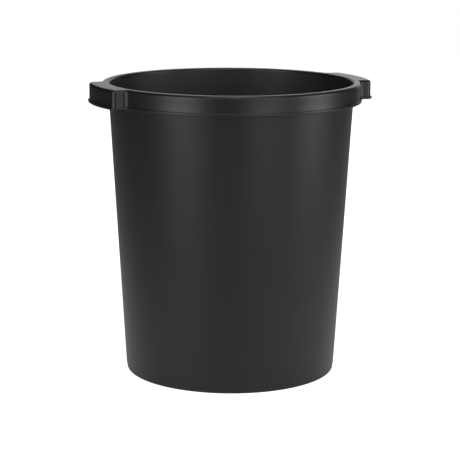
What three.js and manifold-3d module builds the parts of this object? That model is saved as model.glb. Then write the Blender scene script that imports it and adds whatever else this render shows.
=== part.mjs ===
// Round tapered florist bucket, moulded in black polypropylene, with a turned-down collar and two
// finger grips. Millimetres, +Z up: it stands on Z = 0 about the Z axis, with the grips on X.
// The real bucket is one moulding. Each mesh here is one region of it, closed on its own.
import * as THREE from 'three';
import { mergeVertices } from 'three/addons/utils/BufferGeometryUtils.js';
import Module from 'manifold-3d';

const wasm = await Module();
wasm.setup();

// Bucket
const bucketHeight = 320; // bench to rim top
const wallFootRadius = 116; // outside of the wall at the heel line
const wallTopRadius = 134.4; // outside of the wall, carried up to the rim top
const wallThickness = 1.6;

// Heel, foot and floor
const heelHeight = 6; // bench to the heel line
const heelInset = 0.7; // heel stands this far inside the wall above it
const heelStep = 0.5; // height of the sloping step at the heel line
const heelRingHeight = 12; // where the heel region hands over to the plain wall
const footEdgeRadius = 2;
const footWidth = 2.2; // flat that touches the bench
const floorRecess = 3.8; // bench to the floor's underside
const floorThickness = 2;
const floorRise = 2; // dome at the floor's middle
const floorCornerRadius = 4; // inside, between floor and wall

// Collar: flat land, rounded top edge, skirt and lip
const collarDepth = 20.8; // rim top to the skirt's bottom
const skirtOverhang = 6.4; // skirt's outside beyond the wall's
const skirtThickness = 1.8;
const landThickness = 2;
const collarRoot = 3; // rim top to where the plain wall hands over to the collar
const topEdgeRadius = 3.2;
const mouthEdgeRadius = 2.4; // between the land and the inside of the wall
const lipReach = 1.5;
const lipHeight = 3.3;
const lipSlope = 0.9; // height over which the lip runs back into the skirt
const lipEdge = 0.6; // chamfer under the lip

// Finger grips
const gripReach = 13.6; // beyond the skirt
const gripWidth = 86; // between the outsides of the grip's two end walls
const gripCornerRadius = 5.5;
const gripFilletRadius = 6.5; // where the grip's end wall meets the skirt
const gripRibCount = 3;
const gripRibSpacing = 21;
const gripRibThickness = 1.4;
const gripRibDepth = 6; // below the land
const ribClearance = 0.3; // all round a rib

// Facets
const turnFacets = 72;
const facetAngle = (2 * Math.PI) / turnFacets;
const edgeFacets = 3;
const domeFacets = 3;
const gripArcFacets = 16;
const gripCornerFacets = 4;

// Sizes that follow
const skirtRadius = wallTopRadius + skirtOverhang;
const gripRadius = skirtRadius + gripReach;
const landBottom = bucketHeight - landThickness;
const wallTop = bucketHeight - collarRoot;
const collarBottom = bucketHeight - collarDepth;
const floorTop = floorRecess + floorThickness;
const floorCornerHeight = floorTop + floorCornerRadius;
const wallTaper = (wallTopRadius - wallFootRadius) / (bucketHeight - heelHeight);
const floorEdgeRadius = insideRadiusAt(floorCornerHeight) - floorCornerRadius;
const mouthRadius = insideRadiusAt(bucketHeight - mouthEdgeRadius);

function wallRadiusAt(height) {
  return wallFootRadius + wallTaper * (height - heelHeight);
}

function insideRadiusAt(height) {
  return wallRadiusAt(height) - wallThickness;
}

function point(x, y) {
  return new THREE.Vector2(x, y);
}

// Points along an arc, both ends included; angles in radians.
function arc(centre, radius, from, to, facets) {
  const points = [];
  for (let i = 0; i <= facets; i += 1) {
    const angle = from + ((to - from) * i) / facets;
    points.push(point(centre.x + radius * Math.cos(angle), centre.y + radius * Math.sin(angle)));
  }
  return points;
}

// A section (radius, height), listed anticlockwise, turned about Z.
function turned(section) {
  return new THREE.LatheGeometry(section, turnFacets).rotateX(Math.PI / 2);
}

function closedRing(section) {
  return turned([...section, section[0]]);
}

// Bench foot, rounded bottom edge, heel line and the rounded inside corner.
function heelRing() {
  const heelRadius = wallFootRadius - heelInset;
  const footOuter = heelRadius - footEdgeRadius;
  const footInner = footOuter - footWidth;
  const cornerCentre = point(floorEdgeRadius, floorCornerHeight);
  return closedRing([
    point(footInner, 0),
    ...arc(point(footOuter, footEdgeRadius), footEdgeRadius, -Math.PI / 2, 0, edgeFacets),
    point(heelRadius, heelHeight - heelStep),
    point(wallFootRadius, heelHeight),
    point(wallRadiusAt(heelRingHeight), heelRingHeight),
    point(insideRadiusAt(heelRingHeight), heelRingHeight),
    ...arc(cornerCentre, floorCornerRadius, 0, -Math.PI / 2, edgeFacets),
    point(floorEdgeRadius, floorRecess),
    point(footInner, floorRecess),
  ]);
}

// Floor disc, a little higher in the middle so that the bucket stands on its foot.
function floorPanel() {
  const underside = [];
  for (let i = 0; i <= domeFacets; i += 1) {
    const share = i / domeFacets;
    const height = floorRecess + floorRise * (1 - share * share);
    underside.push(point(floorEdgeRadius * share, height));
  }
  const topside = underside.map((p) => point(p.x, p.y + floorThickness)).reverse();
  return turned([...underside, ...topside]);
}

function sideWall() {
  return closedRing([
    point(wallRadiusAt(heelRingHeight), heelRingHeight),
    point(wallRadiusAt(wallTop), wallTop),
    point(insideRadiusAt(wallTop), wallTop),
    point(insideRadiusAt(heelRingHeight), heelRingHeight),
  ]);
}

// Lip, skirt and rounded top edge as (distance outside the skirt's face, height).
function skirtSection() {
  const topEdgeCentre = point(-topEdgeRadius, bucketHeight - topEdgeRadius);
  return [
    point(-skirtThickness, collarBottom),
    point(lipReach - lipEdge, collarBottom),
    point(lipReach, collarBottom + lipEdge),
    point(lipReach, collarBottom + lipHeight - lipSlope),
    point(0, collarBottom + lipHeight),
    ...arc(topEdgeCentre, topEdgeRadius, 0, Math.PI / 2, edgeFacets),
  ];
}

// Rounded mouth edge and the top of the wall under it, as (radius, height).
function mouthSection() {
  const edgeCentre = point(mouthRadius + mouthEdgeRadius, bucketHeight - mouthEdgeRadius);
  return [
    ...arc(edgeCentre, mouthEdgeRadius, Math.PI / 2, Math.PI, edgeFacets),
    point(insideRadiusAt(wallTop), wallTop),
    point(wallRadiusAt(wallTop), wallTop),
    point(wallRadiusAt(landBottom), landBottom),
  ];
}

// A place on the collar's plan outline and the way that it faces, both as seen from above.
function station(x, y, facing) {
  return { x, y, outX: Math.cos(facing), outY: Math.sin(facing) };
}

function onSkirt(angle) {
  return station(skirtRadius * Math.cos(angle), skirtRadius * Math.sin(angle), angle);
}

function circleStations(radius, from, to, facets) {
  return arc(point(0, 0), radius, from, to, facets).map((p) => station(p.x, p.y, Math.atan2(p.y, p.x)));
}

// One side of the grip's plan outline: round the corner, along the end wall and into the skirt. The two
// end walls are parallel, so that the grip draws straight off its mould slide.
function gripFlank() {
  const cornerReach = gripRadius - gripCornerRadius;
  const cornerAngle = Math.asin((gripWidth / 2 - gripCornerRadius) / cornerReach);
  const filletReach = skirtRadius + gripFilletRadius;
  const filletAngle = Math.asin((gripWidth / 2 + gripFilletRadius) / filletReach);
  const endFacing = Math.PI / 2;
  const flank = [];
  for (let i = 1; i <= gripCornerFacets; i += 1) {
    const facing = cornerAngle + ((endFacing - cornerAngle) * i) / gripCornerFacets;
    flank.push(station(
      cornerReach * Math.cos(cornerAngle) + gripCornerRadius * Math.cos(facing),
      cornerReach * Math.sin(cornerAngle) + gripCornerRadius * Math.sin(facing),
      facing,
    ));
  }
  for (let i = 0; i <= gripCornerFacets; i += 1) {
    const facing = endFacing + ((filletAngle - endFacing) * i) / gripCornerFacets;
    flank.push(station(
      filletReach * Math.cos(filletAngle) - gripFilletRadius * Math.cos(facing),
      filletReach * Math.sin(filletAngle) - gripFilletRadius * Math.sin(facing),
      facing,
    ));
  }
  return { flank, cornerAngle, filletAngle };
}

const gripSide = gripFlank();
// The collar divides at the first whole facet beyond the grip's fillets.
const gripFacets = Math.floor(gripSide.filletAngle / facetAngle) + 1;
const gripSpan = gripFacets * facetAngle;

// The grip's whole outline, clockwise as seen from above, from one division to the other.
function gripStations() {
  const face = circleStations(gripRadius, gripSide.cornerAngle, -gripSide.cornerAngle, gripArcFacets);
  const flank = [...gripSide.flank, onSkirt(gripSpan)];
  const mirrored = flank.map((s) => ({ x: s.x, y: -s.y, outX: s.outX, outY: -s.outY }));
  return [...flank.reverse(), ...face, ...mirrored];
}

// A section extruded in one straight step per station, then bent round the stations.
function sweptRound(section, stations) {
  const steps = stations.length - 1;
  const options = { steps, depth: steps, bevelEnabled: false };
  const geometry = new THREE.ExtrudeGeometry(new THREE.Shape(section), options);
  const position = geometry.attributes.position;
  for (let i = 0; i < position.count; i += 1) {
    const place = stations[Math.round(position.getZ(i))];
    const out = position.getX(i);
    position.setXYZ(i, place.x + place.outX * out, place.y + place.outY * out, position.getY(i));
  }
  return geometry;
}

// The collar between the grips, on the +Y side: land, rounded edge, skirt and lip in one sweep.
function rimArc() {
  const section = [
    ...skirtSection(),
    ...mouthSection().map((p) => point(p.x - skirtRadius, p.y)),
    point(-skirtThickness, landBottom),
  ];
  const facets = turnFacets / 2 - 2 * gripFacets;
  return sweptRound(section, circleStations(skirtRadius, Math.PI - gripSpan, gripSpan, facets));
}

function toSolid(geometry) {
  const bare = geometry.clone();
  bare.deleteAttribute('normal');
  bare.deleteAttribute('uv');
  const merged = mergeVertices(bare);
  const vertProperties = new Float32Array(merged.attributes.position.array);
  const triVerts = new Uint32Array(merged.index.array);
  return new wasm.Manifold(new wasm.Mesh({ numProp: 3, vertProperties, triVerts }));
}

function toGeometry(solid) {
  const { vertProperties, triVerts } = solid.getMesh();
  const geometry = new THREE.BufferGeometry();
  geometry.setAttribute('position', new THREE.BufferAttribute(vertProperties, 3));
  geometry.setIndex(new THREE.BufferAttribute(triVerts, 1));
  geometry.computeVertexNormals();
  return geometry;
}

// The grip on +X: the land widened out to the grip's outline, with the skirt and lip round it.
function grip() {
  const stations = gripStations();
  const edge = sweptRound([
    ...skirtSection(),
    point(-topEdgeRadius, landBottom),
    point(-skirtThickness, landBottom),
  ], stations);
  const widened = closedRing([
    point(gripRadius, landBottom),
    point(gripRadius, bucketHeight),
    ...mouthSection(),
  ]);
  const plan = stations.map((s) => point(s.x - s.outX * topEdgeRadius, s.y - s.outY * topEdgeRadius));
  const slice = new THREE.ExtrudeGeometry(new THREE.Shape([point(0, 0), ...plan]), {
    depth: bucketHeight,
    bevelEnabled: false,
  });
  const land = toSolid(widened).intersect(toSolid(slice.translate(0, 0, collarBottom)));
  return toGeometry(land.add(toSolid(edge)));
}

// A rib under the grip's land, from the wall out to the skirt, its lower edge free.
function gripRib(sideways) {
  const near = Math.max(0, Math.abs(sideways) - gripRibThickness / 2);
  const far = Math.abs(sideways) + gripRibThickness / 2;
  const top = landBottom - ribClearance;
  const bottom = landBottom - gripRibDepth;
  const outer = Math.sqrt((gripRadius - skirtThickness) ** 2 - far ** 2) - ribClearance;
  const innerAt = (height) => Math.sqrt(wallRadiusAt(height) ** 2 - near ** 2) + ribClearance;
  const side = new THREE.Shape([
    point(innerAt(bottom), bottom),
    point(outer, bottom),
    point(outer, top),
    point(innerAt(top), top),
  ]);
  const options = { depth: gripRibThickness, bevelEnabled: false };
  return new THREE.ExtrudeGeometry(side, options)
    .rotateX(Math.PI / 2)
    .translate(0, sideways + gripRibThickness / 2, 0);
}

function blackPolypropylene() {
  return new THREE.MeshStandardMaterial({ color: 0x1b1b1d, roughness: 0.48, metalness: 0 });
}

function region(name, geometry) {
  const mesh = new THREE.Mesh(geometry, blackPolypropylene());
  mesh.name = name;
  return mesh;
}

// A grip with its ribs, turned to its side of the bucket.
function gripSet(side, turn) {
  const set = new THREE.Group();
  set.add(region(`grip_${side}`, grip()));
  for (let i = 0; i < gripRibCount; i += 1) {
    const sideways = (i - (gripRibCount - 1) / 2) * gripRibSpacing;
    set.add(region(`grip_${side}_rib_${i + 1}`, gripRib(sideways)));
  }
  set.rotation.z = turn;
  return set;
}

const bucket = new THREE.Group();
bucket.add(region('floor_panel', floorPanel()));
bucket.add(region('heel_ring', heelRing()));
bucket.add(region('side_wall', sideWall()));
bucket.add(region('rim_back', rimArc()));
const rimFront = region('rim_front', rimArc());
rimFront.rotation.z = Math.PI;
bucket.add(rimFront);
bucket.add(gripSet('right', 0));
bucket.add(gripSet('left', Math.PI));

export default bucket;
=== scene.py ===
import math

import bmesh
import bpy
from mathutils import Matrix, Vector


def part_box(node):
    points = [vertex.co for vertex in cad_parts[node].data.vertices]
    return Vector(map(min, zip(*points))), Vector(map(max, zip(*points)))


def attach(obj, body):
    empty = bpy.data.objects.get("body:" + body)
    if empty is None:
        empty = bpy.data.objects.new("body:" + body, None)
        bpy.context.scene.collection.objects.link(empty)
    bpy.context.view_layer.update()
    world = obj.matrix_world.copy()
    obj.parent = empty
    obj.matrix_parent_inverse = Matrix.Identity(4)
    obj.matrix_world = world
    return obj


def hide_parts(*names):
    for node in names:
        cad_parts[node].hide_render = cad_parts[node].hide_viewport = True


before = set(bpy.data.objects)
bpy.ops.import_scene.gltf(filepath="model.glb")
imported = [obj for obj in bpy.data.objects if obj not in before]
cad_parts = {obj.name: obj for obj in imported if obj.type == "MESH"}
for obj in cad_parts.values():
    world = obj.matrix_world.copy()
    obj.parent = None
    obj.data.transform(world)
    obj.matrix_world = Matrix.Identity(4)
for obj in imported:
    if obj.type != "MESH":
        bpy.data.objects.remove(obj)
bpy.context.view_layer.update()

# Florist bucket: one black polypropylene moulding, made up of the regions that the frame names.
# Metres, +Z up, standing on Z = 0 about the Z axis, with the finger grips on X.

# Overall shape, read from the frame
_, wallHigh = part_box("side_wall")
_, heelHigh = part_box("heel_ring")
floorLow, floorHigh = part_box("floor_panel")
rimLow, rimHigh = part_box("rim_front")
_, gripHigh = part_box("grip_right")
endRibLow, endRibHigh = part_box("grip_right_rib_3")

bucketHeight = rimHigh.z
wallTop = wallHigh.z
collarBottom = rimLow.z
wallTaper = (wallHigh.x - heelHigh.x) / (wallHigh.z - heelHigh.z)
lipRadius = -rimLow.y
gripLipRadius = gripHigh.x
gripSpan = math.acos(rimHigh.x / lipRadius)  # half the angle that a grip's region takes

moulding = {
    "wallThickness": 0.0016,
    "fineTurn": 360,  # steps in a full turn
    "wallSteps": 24,  # steps up the wall
    "creaseAngle": 30,  # degrees; sharper edges than this stay crisp
}


def wallRadius(height):
    return heelHigh.x + wallTaper * (height - heelHigh.z)


def insideRadius(height):
    return wallRadius(height) - moulding["wallThickness"]


print("frame read: height %.3f, lip radius %.4f" % (bucketHeight, lipRadius))


# Outlines. A point is (across, height, wear, inner, mouth): the wear column marks edges that get rubbed and
# also get a painted highlight, inner marks the polished inside, and mouth says that across is a radius and
# not a distance outside the skirt's face.

def spot(across, height, wear=0.0, inner=0.0, mouth=0.0):
    return (across, height, wear, inner, mouth)


def bend(across, height, radius, start, end, steps, wear=0.0, inner=0.0, mouth=0.0):
    points = []
    for i in range(steps + 1):
        angle = math.radians(start + (end - start) * i / steps)
        rubAndSheen = wear * math.sin(math.pi * i / steps)
        points.append(spot(across + radius * math.cos(angle), height + radius * math.sin(angle),
                           rubAndSheen, inner, mouth))
    return points


# Points between two spots, without either of them
def run(first, last, steps):
    return [tuple(a + (b - a) * i / steps for a, b in zip(first, last)) for i in range(1, steps)]


def outlineMesh(name, points, closed=True):
    mesh = bpy.data.meshes.new(name)
    loop = points + points[:1] if closed else points
    edges = [(i, i + 1) for i in range(len(loop) - 1)]
    mesh.from_pydata([(p[0], 0, p[1]) for p in loop], edges, [])
    for column, label in ((2, "wear"), (3, "inner"), (4, "mouth")):
        layer = mesh.attributes.new(label, "FLOAT", "POINT")
        layer.data.foreach_set("value", [p[column] for p in loop])
    thing = bpy.data.objects.new(name, mesh)
    bpy.context.collection.objects.link(thing)
    return thing


# Geometry Nodes

def newTree(name, sockets):
    tree = bpy.data.node_groups.new(name, "GeometryNodeTree")
    tree.is_modifier = True
    tree.interface.new_socket("Geometry", in_out="OUTPUT", socket_type="NodeSocketGeometry")
    for label, kind in sockets:
        tree.interface.new_socket(label, in_out="INPUT", socket_type=kind)
    return tree, tree.nodes.new("NodeGroupInput"), tree.nodes.new("NodeGroupOutput")


def socketNamed(sockets, name):
    return next(s for s in sockets if s.enabled and name in (s.name, s.identifier))


def put(tree, kind, feeds=None, **settings):
    node = tree.nodes.new(kind)
    for key, value in settings.items():
        setattr(node, key, value)
    for name, value in (feeds or {}).items():
        target = socketNamed(node.inputs, name)
        if isinstance(value, bpy.types.NodeSocket):
            tree.links.new(value, target)
        else:
            target.default_value = value
    return node


def out(node, name=None):
    return socketNamed(node.outputs, name) if name else next(s for s in node.outputs if s.enabled)


def calc(tree, operation, a, b=None):
    node = put(tree, "ShaderNodeMath", operation=operation)
    for socket, value in zip(node.inputs, (a, b)):
        if isinstance(value, bpy.types.NodeSocket):
            tree.links.new(value, socket)
        elif value is not None:
            socket.default_value = value
    return node.outputs[0]


def whole(tree, operation, a, b):
    return out(put(tree, "FunctionNodeIntegerMath", {"Value": a, "Value_001": b}, operation=operation))


def named(tree, label, kind="FLOAT"):
    return out(put(tree, "GeometryNodeInputNamedAttribute", {"Name": label}, data_type=kind), "Attribute")


def readAt(tree, geometry, value, index, kind="FLOAT"):
    feeds = {"Geometry": geometry, "Value": value, "Index": index}
    return out(put(tree, "GeometryNodeSampleIndex", feeds, data_type=kind))


# Joins the seam, smooths, gives both finishes and ends the tree
def finishTree(tree, geometry, given, groupOut):
    merged = out(put(tree, "GeometryNodeMergeByDistance", {"Geometry": geometry, "Distance": 1e-6}))
    smooth = out(put(tree, "GeometryNodeSetShadeSmooth", {"Geometry": merged}))
    real = out(put(tree, "GeometryNodeRealizeInstances", {"Geometry": smooth}))
    outer = out(put(tree, "GeometryNodeSetMaterial",
                    {"Geometry": real, "Material": socketNamed(given.outputs, "Outer Finish")}))
    inside = out(put(tree, "FunctionNodeCompare", {"A": named(tree, "inner"), "B": 0.5},
                     operation="GREATER_THAN"))
    both = out(put(tree, "GeometryNodeSetMaterial",
                   {"Geometry": outer, "Selection": inside,
                    "Material": socketNamed(given.outputs, "Inner Finish")}))
    tree.links.new(both, groupOut.inputs[0])


def carry(tree, geometry, source, row, labels):
    for label in labels:
        value = readAt(tree, source, named(tree, label), row)
        feeds = {"Geometry": geometry, "Name": label, "Value": value}
        geometry = out(put(tree, "GeometryNodeStoreNamedAttribute", feeds, data_type="FLOAT"))
    return geometry


# Turns the host's outline once round Z
def turnedTree():
    tree, given, groupOut = newTree("turnedRound", [
        ("Outline", "NodeSocketGeometry"), ("Steps", "NodeSocketInt"),
        ("Outer Finish", "NodeSocketMaterial"), ("Inner Finish", "NodeSocketMaterial")])
    outline = out(given, "Outline")
    steps = out(given, "Steps")
    count = out(put(tree, "GeometryNodeAttributeDomainSize", {"Geometry": outline}), "Point Count")
    grid = out(put(tree, "GeometryNodeMeshGrid",
                   {"Vertices X": whole(tree, "ADD", steps, 1), "Vertices Y": count}), "Mesh")
    index = out(put(tree, "GeometryNodeInputIndex"))
    turn = whole(tree, "DIVIDE_FLOOR", index, count)
    row = whole(tree, "MODULO", index, count)
    place = readAt(tree, outline, out(put(tree, "GeometryNodeInputPosition")), row, "FLOAT_VECTOR")
    angle = calc(tree, "MULTIPLY", calc(tree, "DIVIDE", turn, steps), 2 * math.pi)
    turned = out(put(tree, "ShaderNodeVectorRotate", {"Vector": place, "Angle": angle},
                     rotation_type="Z_AXIS"))
    grid = carry(tree, grid, outline, row, ("wear", "inner"))
    grid = out(put(tree, "GeometryNodeSetPosition", {"Geometry": grid, "Position": turned}))
    finishTree(tree, grid, given, groupOut)
    return tree


# Carries an outline along the host's path. Its mouth points keep to the bucket's mouth circle
def sweptTree():
    tree, given, groupOut = newTree("sweptCollar", [
        ("Path", "NodeSocketGeometry"), ("Section", "NodeSocketObject"),
        ("Outer Finish", "NodeSocketMaterial"), ("Inner Finish", "NodeSocketMaterial")])
    path = out(given, "Path")
    section = out(put(tree, "GeometryNodeObjectInfo", {"Object": out(given, "Section")}), "Geometry")
    stations = out(put(tree, "GeometryNodeAttributeDomainSize", {"Geometry": path}), "Point Count")
    count = out(put(tree, "GeometryNodeAttributeDomainSize", {"Geometry": section}), "Point Count")
    grid = out(put(tree, "GeometryNodeMeshGrid", {"Vertices X": stations, "Vertices Y": count}), "Mesh")
    index = out(put(tree, "GeometryNodeInputIndex"))
    station = whole(tree, "DIVIDE_FLOOR", index, count)
    row = whole(tree, "MODULO", index, count)
    position = out(put(tree, "GeometryNodeInputPosition"))
    profile = put(tree, "ShaderNodeSeparateXYZ",
                  {"Vector": readAt(tree, section, position, row, "FLOAT_VECTOR")})
    across, height = out(profile, "X"), out(profile, "Z")
    base = readAt(tree, path, position, station, "FLOAT_VECTOR")
    outward = readAt(tree, path, named(tree, "outward", "FLOAT_VECTOR"), station, "FLOAT_VECTOR")
    angle = readAt(tree, path, named(tree, "mouthAngle"), station)
    reach = out(put(tree, "ShaderNodeVectorMath", {"Vector": outward, "Scale": across}, operation="SCALE"))
    onPath = out(put(tree, "ShaderNodeVectorMath", {"Vector": base, "Vector_001": reach}, operation="ADD"))
    onMouth = out(put(tree, "ShaderNodeCombineXYZ", {
        "X": calc(tree, "MULTIPLY", across, calc(tree, "COSINE", angle)),
        "Y": calc(tree, "MULTIPLY", across, calc(tree, "SINE", angle))}))
    mouth = readAt(tree, section, named(tree, "mouth"), row)
    plan = put(tree, "ShaderNodeSeparateXYZ", {"Vector": out(put(
        tree, "ShaderNodeMix", {"Factor": mouth, "A": onPath, "B": onMouth}, data_type="VECTOR"))})
    placed = out(put(tree, "ShaderNodeCombineXYZ",
                     {"X": out(plan, "X"), "Y": out(plan, "Y"), "Z": height}))
    grid = carry(tree, grid, section, row, ("wear", "inner"))
    grid = out(put(tree, "GeometryNodeSetPosition", {"Geometry": grid, "Position": placed}))
    finishTree(tree, grid, given, groupOut)
    return tree


# Spreads a unit rib along Y, stretches each copy from the wall to the skirt, and does both grips
def ribTree():
    tree, given, groupOut = newTree("gripRibs", [
        ("Rib", "NodeSocketGeometry"), ("Count", "NodeSocketInt"), ("Spacing", "NodeSocketFloat"),
        ("Wall Radius", "NodeSocketFloat"), ("Skirt Radius", "NodeSocketFloat"),
        ("Outer Finish", "NodeSocketMaterial"), ("Inner Finish", "NodeSocketMaterial")])
    count, spacing = out(given, "Count"), out(given, "Spacing")
    half = calc(tree, "MULTIPLY", calc(tree, "SUBTRACT", count, 1.0), -0.5)
    start = out(put(tree, "ShaderNodeCombineXYZ", {"Y": calc(tree, "MULTIPLY", half, spacing)}))
    step = out(put(tree, "ShaderNodeCombineXYZ", {"Y": spacing}))
    line = out(put(tree, "GeometryNodeMeshLine",
                   {"Count": count, "Start Location": start, "Offset": step}))
    ribs = out(put(tree, "GeometryNodeInstanceOnPoints", {"Points": line, "Instance": out(given, "Rib")}))
    ribs = out(put(tree, "GeometryNodeRealizeInstances", {"Geometry": ribs}))
    place = put(tree, "ShaderNodeSeparateXYZ", {"Vector": out(put(tree, "GeometryNodeInputPosition"))})
    across, aside, height = (out(place, axis) for axis in "XYZ")

    def circleAt(radius):
        left = calc(tree, "SUBTRACT", calc(tree, "MULTIPLY", radius, radius),
                    calc(tree, "MULTIPLY", aside, aside))
        return calc(tree, "SQRT", left)

    near, far = circleAt(out(given, "Wall Radius")), circleAt(out(given, "Skirt Radius"))
    length = calc(tree, "MULTIPLY", calc(tree, "SUBTRACT", far, near), across)
    stretched = out(put(tree, "ShaderNodeCombineXYZ",
                        {"X": calc(tree, "ADD", near, length), "Y": aside, "Z": height}))
    ribs = out(put(tree, "GeometryNodeSetPosition", {"Geometry": ribs, "Position": stretched}))
    other = out(put(tree, "GeometryNodeTransform", {"Geometry": ribs, "Rotation": (0, 0, math.pi)}))
    join = put(tree, "GeometryNodeJoinGeometry")
    tree.links.new(ribs, join.inputs[0])
    tree.links.new(other, join.inputs[0])
    finishTree(tree, out(join), given, groupOut)
    return tree


# Runs a tree on its host object and keeps the result as the object's own plain mesh
def grow(host, tree, values):
    modifier = host.modifiers.new(tree.name, "NODES")
    modifier.node_group = tree
    for item in tree.interface.items_tree:
        if item.in_out == "INPUT" and item.name in values:
            modifier[item.identifier] = values[item.name]
    shown = host.evaluated_get(bpy.context.evaluated_depsgraph_get())
    mesh = bpy.data.meshes.new_from_object(shown)
    mesh.name = host.name
    host.modifiers.clear()
    old, host.data = host.data, mesh
    bpy.data.meshes.remove(old)
    return host


# Closes open ends, turns the faces outwards and keeps real corners crisp
def finishMesh(piece):
    work = bmesh.new()
    work.from_mesh(piece.data)
    rims = [e for e in work.edges if e.is_boundary]
    if rims:
        bmesh.ops.holes_fill(work, edges=rims, sides=0)
    bmesh.ops.recalc_face_normals(work, faces=work.faces)
    limit = math.radians(moulding["creaseAngle"])
    for edge in work.edges:
        edge.smooth = edge.is_manifold and edge.calc_face_angle() < limit
    for face in work.faces:
        face.smooth = True
    work.to_mesh(piece.data)
    work.free()
    return piece


# Shaders

def newGroup(name, inputs, outputs):
    tree = bpy.data.node_groups.new(name, "ShaderNodeTree")
    for label, kind, value in inputs:
        socket = tree.interface.new_socket(label, in_out="INPUT", socket_type=kind)
        if value is not None:
            socket.default_value = value
    for label, kind in outputs:
        tree.interface.new_socket(label, in_out="OUTPUT", socket_type=kind)
    return tree, tree.nodes.new("NodeGroupInput"), tree.nodes.new("NodeGroupOutput")


def noise(tree, vector, scale, detail=2.0, rough=0.5):
    return out(put(tree, "ShaderNodeTexNoise",
                   {"Vector": vector, "Scale": scale, "Detail": detail, "Roughness": rough}), "Fac")


def remap(tree, value, low, high, toLow=0.0, toHigh=1.0):
    return out(put(tree, "ShaderNodeMapRange", {
        "Value": value, "From Min": low, "From Max": high, "To Min": toLow, "To Max": toHigh}))


# Fine spark-eroded texture of the mould
def grainGroup():
    tree, given, done = newGroup("mouldGrain", [
        ("Vector", "NodeSocketVector", None), ("Scale", "NodeSocketFloat", 1800.0)],
        [("Height", "NodeSocketFloat"), ("Fleck", "NodeSocketFloat")])
    vector, scale = out(given, "Vector"), out(given, "Scale")
    fine = noise(tree, vector, scale, 3.0, 0.6)
    cells = out(put(tree, "ShaderNodeTexVoronoi",
                    {"Vector": vector, "Scale": calc(tree, "MULTIPLY", scale, 0.55)}), "Distance")
    height = calc(tree, "ADD", calc(tree, "MULTIPLY", fine, 0.6), calc(tree, "MULTIPLY", cells, 0.4))
    tree.links.new(height, done.inputs["Height"])
    tree.links.new(remap(tree, fine, 0.35, 0.65), done.inputs["Fleck"])
    return tree


# Broad cloudiness, and faint streaks that run up the wall from the gate
def flowGroup():
    tree, given, done = newGroup("flowMarks", [
        ("Vector", "NodeSocketVector", None), ("Streaks", "NodeSocketFloat", 60.0)],
        [("Cloud", "NodeSocketFloat"), ("Streak", "NodeSocketFloat")])
    vector = out(given, "Vector")
    cloud = remap(tree, noise(tree, vector, 9.0, 3.0), 0.3, 0.7)
    parts = put(tree, "ShaderNodeSeparateXYZ", {"Vector": vector})
    drawn = out(put(tree, "ShaderNodeCombineXYZ", {
        "X": out(parts, "X"), "Y": out(parts, "Y"),
        "Z": calc(tree, "MULTIPLY", out(parts, "Z"), 0.04)}))
    streak = remap(tree, noise(tree, drawn, out(given, "Streaks"), 4.0, 0.65), 0.3, 0.7)
    tree.links.new(cloud, done.inputs["Cloud"])
    tree.links.new(streak, done.inputs["Streak"])
    return tree


# Rubbed edges with a painted highlight on them, broken up by noise, from the piece's own wear mask
def wearAndSheenGroup():
    tree, given, done = newGroup("edgeWear", [
        ("Vector", "NodeSocketVector", None), ("Edge", "NodeSocketFloat", 0.0),
        ("Amount", "NodeSocketFloat", 0.5)], [("Mask", "NodeSocketFloat")])
    vector = out(given, "Vector")
    patches = remap(tree, noise(tree, vector, 70.0, 5.0, 0.7), 0.42, 0.72)
    nicks = remap(tree, noise(tree, vector, 420.0, 2.0), 0.3, 0.6, 0.4, 1.0)
    broken = calc(tree, "MULTIPLY", patches, nicks)
    rubbedAndSheen = calc(tree, "MULTIPLY", out(given, "Edge"), out(given, "Amount"))
    tree.links.new(calc(tree, "MULTIPLY", rubbedAndSheen, broken), done.inputs["Mask"])
    return tree


# Fine dust that lies on what faces up
def dustGroup():
    tree, given, done = newGroup("restingDust", [
        ("Vector", "NodeSocketVector", None), ("Amount", "NodeSocketFloat", 0.3)],
        [("Mask", "NodeSocketFloat")])
    facing = out(put(tree, "ShaderNodeSeparateXYZ",
                     {"Vector": out(put(tree, "ShaderNodeNewGeometry"), "Normal")}), "Z")
    level = remap(tree, facing, 0.55, 1.0)
    specks = remap(tree, noise(tree, out(given, "Vector"), 900.0, 4.0, 0.7), 0.5, 0.8)
    patches = remap(tree, noise(tree, out(given, "Vector"), 22.0, 3.0), 0.3, 0.75, 0.25, 1.0)
    mask = calc(tree, "MULTIPLY", calc(tree, "MULTIPLY", specks, patches), level)
    tree.links.new(calc(tree, "MULTIPLY", mask, out(given, "Amount")), done.inputs["Mask"])
    return tree


# Short fine scratches in two directions
def scuffGroup():
    tree, given, done = newGroup("fineScuffs", [
        ("Vector", "NodeSocketVector", None), ("Scale", "NodeSocketFloat", 160.0)],
        [("Mask", "NodeSocketFloat")])
    total = None
    for turn, squeeze in ((0.5, (1.0, 0.06, 1.0)), (2.1, (0.05, 1.0, 1.0))):
        turned = out(put(tree, "ShaderNodeMapping",
                         {"Vector": out(given, "Vector"), "Rotation": (0.3, 0.2, turn), "Scale": squeeze}))
        lines = remap(tree, noise(tree, turned, out(given, "Scale"), 3.0, 0.55), 0.63, 0.7)
        total = lines if total is None else calc(tree, "MAXIMUM", total, lines)
    tree.links.new(total, done.inputs["Mask"])
    return tree


grainTree = grainGroup()
flowTree = flowGroup()
wearAndSheenTree = wearAndSheenGroup()
dustTree = dustGroup()
scuffTree = scuffGroup()


def useGroup(tree, group, feeds):
    node = tree.nodes.new("ShaderNodeGroup")
    node.node_tree = group
    for name, value in feeds.items():
        if isinstance(value, bpy.types.NodeSocket):
            tree.links.new(value, node.inputs[name])
        else:
            node.inputs[name].default_value = value
    return node


def mixColour(tree, factor, first, second):
    return out(put(tree, "ShaderNodeMix", {"Factor": factor, "A": first, "B": second}, data_type="RGBA"))


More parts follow.
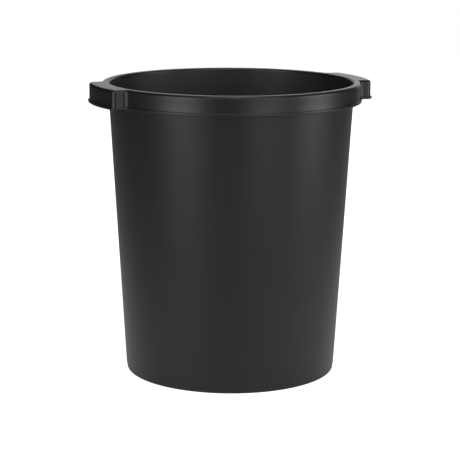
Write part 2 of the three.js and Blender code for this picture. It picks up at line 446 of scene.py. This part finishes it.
blackPolypropylene = {
    "colour": (0.0068, 0.007, 0.0076, 1.0),
    # lighter grey of rubbed edges and scratches; on the edges it is also a painted highlight
    "rubbedAndSheenColour": (0.045, 0.045, 0.047, 1.0),
    # pale grey of dust; the painted fill light also mixes the colour toward it
    "dustAndFillColour": (0.16, 0.155, 0.15, 1.0),
    "ior": 1.49,
    "streaks": 60.0,
    "scuffScale": 160.0,
    "fleckRough": 0.03,  # what each mask adds to the roughness
    "rubbedRough": -0.15,
    "dustRough": 0.6,
    "scuffRough": 0.5,
    "grainDepth": 0.00012,
    "swell": 0.25,  # strength of the broad unevenness
    "swellDepth": 0.0004,
}

# haze is painted fill light: it lightens the colour so the shaded inside looks less dark
# wear lightens the colour of rubbed edges, partly a painted highlight along the rim and lip
outerFinish = {"name": "satinGrain", "roughness": 0.34, "cloud": 0.03, "streak": 0.03, "paintedFill": 0.0,
               "grain": 0.16, "grainScale": 1900.0, "wear": 0.7, "dust": 0.12, "scuff": 0.0}
innerFinish = {"name": "smoothInside", "roughness": 0.48, "cloud": 0.03, "streak": 0.05, "paintedFill": 0.06,
               "grain": 0.07, "grainScale": 2600.0, "wear": 0.3, "dust": 0.2, "scuff": 0.05}
underFinish = {"name": "turnedUnderside", "roughness": 0.5, "cloud": 0.05, "streak": 0.0, "paintedFill": 0.02,
               "grain": 0.2, "grainScale": 1500.0, "wear": 0.9, "dust": 0.0, "scuff": 0.14}


# The same black material everywhere, with the finish that its side of the mould gives it
def polypropylene(finish):
    base = blackPolypropylene
    material = bpy.data.materials.new(finish["name"])
    material.use_nodes = True
    tree = material.node_tree
    shader = tree.nodes["Principled BSDF"]
    shader.inputs["IOR"].default_value = base["ior"]
    vector = out(put(tree, "ShaderNodeTexCoord"), "Object")
    grain = useGroup(tree, grainTree, {"Vector": vector, "Scale": finish["grainScale"]})
    flow = useGroup(tree, flowTree, {"Vector": vector, "Streaks": base["streaks"]})
    cloud = flow.outputs["Cloud"]
    edge = out(put(tree, "ShaderNodeAttribute", attribute_name="wear"), "Fac")
    wear = useGroup(tree, wearAndSheenTree, {"Vector": vector, "Edge": edge, "Amount": finish["wear"]})
    rubbedAndSheen = wear.outputs["Mask"]
    dust = useGroup(tree, dustTree, {"Vector": vector, "Amount": finish["dust"]}).outputs["Mask"]
    scuff = useGroup(tree, scuffTree, {"Vector": vector, "Scale": base["scuffScale"]})
    scratched = calc(tree, "MULTIPLY", scuff.outputs["Mask"], finish["scuff"])
    # Painted fill light: the colour lightened toward pale grey, most on the inside, so its shade looks less
    # dark
    paintedFill = calc(tree, "MULTIPLY", remap(tree, cloud, 0.0, 1.0, 0.7, 1.3), finish["paintedFill"])

    # Rubbed edges and scratches lighten the colour; on the edges this is partly a painted highlight
    colour = mixColour(tree, rubbedAndSheen, base["colour"], base["rubbedAndSheenColour"])
    colour = mixColour(tree, scratched, colour, base["rubbedAndSheenColour"])
    # Painted fill light, lifting the shade
    colour = mixColour(tree, paintedFill, colour, base["dustAndFillColour"])
    colour = mixColour(tree, dust, colour, base["dustAndFillColour"])
    tree.links.new(colour, shader.inputs["Base Color"])

    level = finish["roughness"]
    for mask, amount in ((cloud, finish["cloud"]), (flow.outputs["Streak"], finish["streak"]),
                         (grain.outputs["Fleck"], base["fleckRough"]), (rubbedAndSheen, base["rubbedRough"]),
                         (dust, base["dustRough"]), (scratched, base["scuffRough"])):
        level = calc(tree, "ADD", level, calc(tree, "MULTIPLY", mask, amount))
    tree.links.new(level, shader.inputs["Roughness"])

    fine = put(tree, "ShaderNodeBump", {"Strength": finish["grain"], "Distance": base["grainDepth"],
                                        "Height": grain.outputs["Height"]})
    broad = put(tree, "ShaderNodeBump", {"Strength": base["swell"], "Distance": base["swellDepth"],
                                         "Height": cloud, "Normal": out(fine)})
    tree.links.new(out(broad), shader.inputs["Normal"])
    return material


finishes = {"outer": polypropylene(outerFinish), "inner": polypropylene(innerFinish),
            "under": polypropylene(underFinish)}
print("finishes made:", ", ".join(sorted(m.name for m in finishes.values())))

turned, swept, ribbed = turnedTree(), sweptTree(), ribTree()


# Puts a finished piece into the part in place of its regions
def settle(piece, *nodes):
    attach(piece, "root")
    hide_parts(*nodes)
    print("piece %s: %d faces" % (piece.name, len(piece.data.polygons)))


def turnPiece(name, points, outer, inner):
    host = outlineMesh(name, points)
    grow(host, turned, {"Steps": moulding["fineTurn"], "Outer Finish": outer, "Inner Finish": inner})
    return finishMesh(host)


# Side wall

def sideWall():
    low, high, steps = heelHigh.z, wallTop, moulding["wallSteps"]
    outerLow, outerHigh = spot(wallRadius(low), low), spot(wallRadius(high), high)
    innerHigh, innerLow = spot(insideRadius(high), high, inner=1), spot(insideRadius(low), low, inner=1)
    points = [outerLow, *run(outerLow, outerHigh, steps), outerHigh,
              innerHigh, *run(innerHigh, innerLow, steps), innerLow]
    return turnPiece("sideWall", points, finishes["outer"], finishes["inner"])


# Heel: foot, rounded bottom edge, heel line and the rounded inside corner

heel = {
    "line": 0.006,  # height of the heel line
    "inset": 0.0007,
    "step": 0.0005,
    "lineEdge": 0.00025,  # rounding of the wall's lower edge
    "bottomEdge": 0.002,
    "footWidth": 0.0022,
    "footEdge": 0.0004,
    "floorThickness": 0.002,
    "insideCorner": 0.004,
}


def heelRing():
    heelRadius = wallRadius(heel["line"]) - heel["inset"]
    footOuter = heelRadius - heel["bottomEdge"]
    footInner = footOuter - heel["footWidth"]
    floorEdge = floorHigh.x
    floorTop = floorLow.z + heel["floorThickness"]
    edge, foot = heel["lineEdge"], heel["footEdge"]
    high = heelHigh.z
    points = [
        spot(footInner + foot, 0, 0.6), spot(footOuter, 0, 0.8),
        *bend(footOuter, heel["bottomEdge"], heel["bottomEdge"], -80, 0, 10, 0.9),
        spot(heelRadius, heel["line"] - heel["step"] - edge),
        spot(heelRadius + 0.2 * edge, heel["line"] - heel["step"]),
        *bend(wallRadius(heel["line"]) - edge, heel["line"] + edge, edge, -60, 0, 5, 0.4),
        spot(wallRadius(high), high),
        spot(insideRadius(high), high, inner=1),
        *bend(floorEdge, floorTop + heel["insideCorner"], heel["insideCorner"], 0, -90, 12, inner=1),
        spot(floorEdge, floorLow.z),
        spot(footInner - foot, floorLow.z),
        *bend(footInner - foot, floorLow.z - foot, foot, 90, 0, 4)[1:],
        *bend(footInner + foot, foot, foot, 180, 260, 4, 0.5),
    ]
    return turnPiece("heelRing", points, finishes["outer"], finishes["inner"])


# Floor: a domed disc with the gate's mark underneath

floor = {
    "rise": 0.002,
    "gateDish": 0.008,  # radius of the dish round the gate
    "dishBank": 0.002,  # width of the dish's sloping edge
    "gateDepth": 0.0006,
    "gateNub": 0.0016,
    "nubHeight": 0.0005,
    "stepRadius": 0.094,  # where the underside steps up, near the foot
    "stepWidth": 0.0012,
    "stepHeight": 0.0004,
    "middleSteps": 10,
    "edgeSteps": 3,
    "topSteps": 14,
}


def floorPanel():
    edge = floorHigh.x

    def domed(radius):
        return floorLow.z + floor["rise"] * (1 - (radius / edge) ** 2)

    def under(radius, lift=0.0):
        return spot(radius, domed(radius) + lift)

    dish, nub, depth = floor["gateDish"], floor["gateNub"], floor["gateDepth"]
    bank, nubLift = floor["dishBank"], floor["gateDepth"] - floor["nubHeight"]
    step, lift, far = floor["stepRadius"], floor["stepHeight"], floor["stepRadius"] + floor["stepWidth"]
    middleSteps, edgeSteps, topSteps = floor["middleSteps"], floor["edgeSteps"], floor["topSteps"]
    gate = [under(0, nubLift), under(nub * 0.8, nubLift), under(nub, depth), under(dish - bank, depth),
            under(dish - 0.4 * bank, 0.7 * depth), under(dish)]
    middle = [under(dish + (step - dish) * i / middleSteps) for i in range(1, middleSteps + 1)]
    ledge = [under((step + far) / 2, 0.3 * lift), under(far, lift)]
    outer = [under(far + (edge - far) * i / edgeSteps, lift * (1 - i / edgeSteps))
             for i in range(1, edgeSteps + 1)]
    top = [spot(edge * i / topSteps, domed(edge * i / topSteps) + heel["floorThickness"], inner=1)
           for i in range(topSteps, -1, -1)]
    host = outlineMesh("floorPanel", [*gate, *middle, *ledge, *outer, *top], closed=False)
    grow(host, turned, {"Steps": moulding["fineTurn"] // 2, "Outer Finish": finishes["under"],
                        "Inner Finish": finishes["inner"]})
    return finishMesh(host)


# Collar: the land, its rounded edges, the skirt and the lip

collar = {
    "landThickness": 0.002,
    "skirtThickness": 0.0018,
    "topEdge": 0.0032,
    "mouthEdge": 0.0024,
    "lipReach": 0.0015,
    "lipHeight": 0.0033,
    "lipEdge": 0.0006,
    "lipRoot": 0.0007,
    "skirtFoot": 0.0004,
    "skirtRoot": 0.001,
    "hold": 0.004,  # length of skirt that stays straight beside a bend
}
landBottom = bucketHeight - collar["landThickness"]
skirtRadius = lipRadius - collar["lipReach"]
gripRadius = gripLipRadius - collar["lipReach"]


def collarSection():
    thick, edge, root, foot = (collar[k] for k in ("skirtThickness", "lipEdge", "lipRoot", "skirtFoot"))
    reach, lipTop = collar["lipReach"], collarBottom + collar["lipHeight"]
    mouth = insideRadius(bucketHeight - collar["mouthEdge"])
    top, rim = collar["topEdge"], collar["mouthEdge"]
    points = [
        *bend(-thick + foot, collarBottom + foot, foot, 180, 270, 4),
        *bend(reach - edge, collarBottom + edge, edge, -90, 0, 6, 0.9),
        *bend(reach - edge, lipTop - root - edge * 0.4, edge, 0, 70, 6, 0.8),
        *bend(root, lipTop, root, 250, 180, 5),
        spot(0, bucketHeight - top - collar["hold"]),
        *bend(-top, bucketHeight - top, top, 0, 90, 12, 0.7),
        *bend(mouth + rim, bucketHeight - rim, rim, 90, 180, 8, 0.8, mouth=1),
        spot(insideRadius(wallTop), wallTop, inner=1, mouth=1),
        spot(wallRadius(wallTop), wallTop, mouth=1),
        spot(wallRadius(landBottom), landBottom, mouth=1),
        *bend(-thick - collar["skirtRoot"], landBottom - collar["skirtRoot"], collar["skirtRoot"], 90, 0, 5),
        spot(-thick, collarBottom + collar["hold"]),
    ]
    return outlineMesh("collarSection", points)


# Stations are (x, y, facing); the mouth's angle runs evenly with the length of the land's edge
def pathObject(name, stations):
    mesh = bpy.data.meshes.new(name)
    edges = [(i, i + 1) for i in range(len(stations) - 1)]
    mesh.from_pydata([(x, y, 0) for x, y, _ in stations], edges, [])
    inset = [(x - collar["topEdge"] * math.cos(f), y - collar["topEdge"] * math.sin(f))
             for x, y, f in stations]
    travelled = [0.0]
    for a, b in zip(inset, inset[1:]):
        travelled.append(travelled[-1] + math.dist(a, b))
    first = math.atan2(stations[0][1], stations[0][0])
    last = math.atan2(stations[-1][1], stations[-1][0])
    if last > first:
        last -= 2 * math.pi
    facing = mesh.attributes.new("outward", "FLOAT_VECTOR", "POINT")
    facing.data.foreach_set("vector", [c for _, _, f in stations for c in (math.cos(f), math.sin(f), 0)])
    angles = mesh.attributes.new("mouthAngle", "FLOAT", "POINT")
    angles.data.foreach_set("value", [first + (last - first) * t / travelled[-1] for t in travelled])
    thing = bpy.data.objects.new(name, mesh)
    bpy.context.collection.objects.link(thing)
    return thing


def roundStations(radius, start, end, steps):
    angles = [start + (end - start) * i / steps for i in range(steps + 1)]
    return [(radius * math.cos(a), radius * math.sin(a), a) for a in angles]


def sweepPiece(name, stations, section):
    host = pathObject(name, stations)
    grow(host, swept, {"Section": section, "Outer Finish": finishes["outer"],
                       "Inner Finish": finishes["inner"]})
    return finishMesh(host)


def rimArc(name, turn, section):
    steps = round((math.pi - 2 * gripSpan) / (2 * math.pi) * moulding["fineTurn"])
    stations = roundStations(skirtRadius, turn + math.pi - gripSpan, turn + gripSpan, steps)
    return sweepPiece(name, stations, section)


grip = {
    "width": 0.086,  # between the outsides of its two end walls
    "corner": 0.0055,
    "fillet": 0.0065,
    "cornerSteps": 10,
    "faceSteps": 44,
    "skirtSteps": 4,
}


# From one division to the other, clockwise: skirt, fillet, end wall, corner, face, and back
def gripStations(turn):
    cornerReach, filletReach = gripRadius - grip["corner"], skirtRadius + grip["fillet"]
    cornerAngle = math.asin((grip["width"] / 2 - grip["corner"]) / cornerReach)
    filletAngle = math.asin((grip["width"] / 2 + grip["fillet"]) / filletReach)
    square = math.pi / 2
    half = roundStations(skirtRadius, gripSpan, filletAngle, grip["skirtSteps"])[:-1]

    def around(reach, middle, radius, start, end):
        centreX, centreY = reach * math.cos(middle), reach * math.sin(middle)
        for i in range(grip["cornerSteps"] + 1):
            facing = start + (end - start) * i / grip["cornerSteps"]
            yield (centreX + radius * math.cos(facing), centreY + radius * math.sin(facing), facing)

    half += around(filletReach, filletAngle, -grip["fillet"], filletAngle, square)
    half += around(cornerReach, cornerAngle, grip["corner"], square, cornerAngle)
    face = roundStations(gripRadius, cornerAngle, -cornerAngle, grip["faceSteps"])[1:-1]
    other = [(x, -y, -facing) for x, y, facing in reversed(half)]
    c, s = math.cos(turn), math.sin(turn)
    return [(c * x - s * y, s * x + c * y, facing + turn) for x, y, facing in half + face + other]


# Ribs under the grips

rib = {
    "count": 3,
    "rootWidth": 0.0014,
    "edgeWidth": 0.0011,
    "edgeRound": 0.0004,
    "bite": 0.0008,  # how far a rib's ends go into the wall and the skirt
    "rootBite": 0.0002,  # and its root into the land
}


def gripRibs():
    top, low = landBottom + rib["rootBite"], endRibLow.z
    root, edge, soft = rib["rootWidth"] / 2, rib["edgeWidth"] / 2, rib["edgeRound"]
    side = [(-root, top), (-edge, low + soft), (-edge + soft, low), (edge - soft, low), (edge, low + soft),
            (root, top)]
    host = bpy.data.objects.new("gripRibs", bpy.data.meshes.new("gripRibs"))
    bpy.context.collection.objects.link(host)
    work = bmesh.new()
    rings = [[work.verts.new((reach, y, z)) for y, z in side] for reach in (0.0, 1.0)]
    for i in range(len(side)):
        j = (i + 1) % len(side)
        work.faces.new((rings[0][i], rings[0][j], rings[1][j], rings[1][i]))
    work.faces.new(rings[0])
    work.faces.new(rings[1][::-1])
    work.to_mesh(host.data)
    work.free()
    middle = (low + landBottom) / 2
    grow(host, ribbed, {
        "Count": rib["count"], "Spacing": (endRibLow.y + endRibHigh.y) / 2,
        "Wall Radius": wallRadius(middle) - rib["bite"],
        "Skirt Radius": gripRadius - collar["skirtThickness"] + rib["bite"],
        "Outer Finish": finishes["outer"], "Inner Finish": finishes["outer"]})
    return finishMesh(host)


settle(sideWall(), "side_wall")
settle(heelRing(), "heel_ring")
settle(floorPanel(), "floor_panel")
section = collarSection()
settle(rimArc("rimBack", 0, section), "rim_back")
settle(rimArc("rimFront", math.pi, section), "rim_front")
settle(sweepPiece("gripRight", gripStations(0), section), "grip_right")
settle(sweepPiece("gripLeft", gripStations(math.pi), section), "grip_left")
bpy.data.objects.remove(section)
ribNodes = [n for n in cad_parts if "_rib_" in n]
settle(gripRibs(), *ribNodes)


# Stage

stage = {
    "floorSize": 6.0,
    "paper": (0.6, 0.6, 0.6, 1.0),
    "paperRoughness": 0.9,
    "glow": 1.0,
    "poolGlow": 0.3,  # light thrown back at the bucket by the paper round its foot
    "poolInner": 0.25,
    "poolOuter": 0.8,
    "background": (1.0, 1.0, 1.0, 1.0),
    "surroundLight": (0.02, 0.02, 0.02, 1.0),
}


def paleFloor():
    mesh = bpy.data.meshes.new("paleFloor")
    half = stage["floorSize"] / 2
    corners = [(-half, -half, 0), (half, -half, 0), (half, half, 0), (-half, half, 0)]
    mesh.from_pydata(corners, [], [(0, 1, 2, 3)])
    ground = bpy.data.objects.new("paleFloor", mesh)
    bpy.context.collection.objects.link(ground)
    material = bpy.data.materials.new("palePaper")
    material.use_nodes = True
    tree = material.node_tree
    shader = tree.nodes["Principled BSDF"]
    shader.inputs["Base Color"].default_value = stage["paper"]
    shader.inputs["Roughness"].default_value = stage["paperRoughness"]
    shader.inputs["Emission Color"].default_value = stage["background"]
    seen = out(put(tree, "ShaderNodeLightPath"), "Is Camera Ray")
    place = out(put(tree, "ShaderNodeTexCoord"), "Object")
    away = out(put(tree, "ShaderNodeVectorMath", {"Vector": place}, operation="LENGTH"), "Value")
    pool = remap(tree, away, stage["poolInner"], stage["poolOuter"], stage["poolGlow"], 0.0)
    strength = remap(tree, seen, 0.0, 1.0, pool, stage["glow"])
    tree.links.new(strength, shader.inputs["Emission Strength"])
    mesh.materials.append(material)


def surround():
    world = bpy.data.worlds.new("surround")
    bpy.context.scene.world = world
    world.use_nodes = True
    tree = world.node_tree
    background = tree.nodes["Background"]
    seen = out(put(tree, "ShaderNodeLightPath"), "Is Camera Ray")
    colour = mixColour(tree, seen, stage["surroundLight"], stage["background"])
    tree.links.new(colour, background.inputs["Color"])


# Azimuth, elevation, distance, width, height and power. Azimuth 0 is the camera's side, 90 its right
lights = {
    "frontTop": (8, 56, 2.0, 1.2, 0.9, 11.5),
    "leftFront": (-43, 11, 2.0, 0.95, 1.0, 13.1),
    "rightFront": (30, 11, 2.0, 0.9, 1.0, 6.9),
    "rightSide": (78, 11, 2.0, 0.9, 1.0, 13.3),
    "backTop": (180, 45, 2.2, 1.0, 1.2, 9.5),
    "backRight": (163, 11, 2.2, 1.0, 1.0, 4.3),
    "backLeft": (-170, 11, 2.2, 0.6, 1.0, 1.7),
}


# A soft light that faces the bucket
def softbox(name, azimuth, elevation, distance, width, height, power):
    data = bpy.data.lights.new(name, "AREA")
    data.shape = "RECTANGLE"
    data.size, data.size_y = width, height
    data.energy = power
    lamp = bpy.data.objects.new(name, data)
    bpy.context.collection.objects.link(lamp)
    a = math.radians(camera["azimuth"] + azimuth)
    e = math.radians(elevation)
    away = Vector((math.sin(a) * math.cos(e), -math.cos(a) * math.cos(e), math.sin(e)))
    aim = Vector((0, 0, bucketHeight / 2))
    lamp.location = aim + away * distance
    lamp.rotation_euler = (-away).to_track_quat("-Z", "Y").to_euler()


camera = {
    "azimuth": -21.5,  # degrees round from the front
    "distance": 1.8226,
    "height": 0.525,
    "pitch": 11.504,
    "pan": 0.019,  # degrees to the left
    "roll": 0.28,
    "lens": 131.2,
}


def viewCamera():
    data = bpy.data.cameras.new("viewCamera")
    data.lens = camera["lens"]
    data.sensor_width = 36
    eye = bpy.data.objects.new("viewCamera", data)
    bpy.context.collection.objects.link(eye)
    a, away = math.radians(camera["azimuth"]), camera["distance"]
    eye.matrix_world = (
        Matrix.Translation((away * math.sin(a), -away * math.cos(a), camera["height"]))
        @ Matrix.Rotation(a + math.radians(camera["pan"]), 4, "Z")
        @ Matrix.Rotation(math.radians(90 - camera["pitch"]), 4, "X")
        @ Matrix.Rotation(math.radians(camera["roll"]), 4, "Z"))
    bpy.context.scene.camera = eye


viewCamera()
paleFloor()
surround()
for name, placed in lights.items():
    softbox(name, *placed)
bpy.context.scene.view_settings.view_transform = "Standard"
print("stage, lights and camera set")
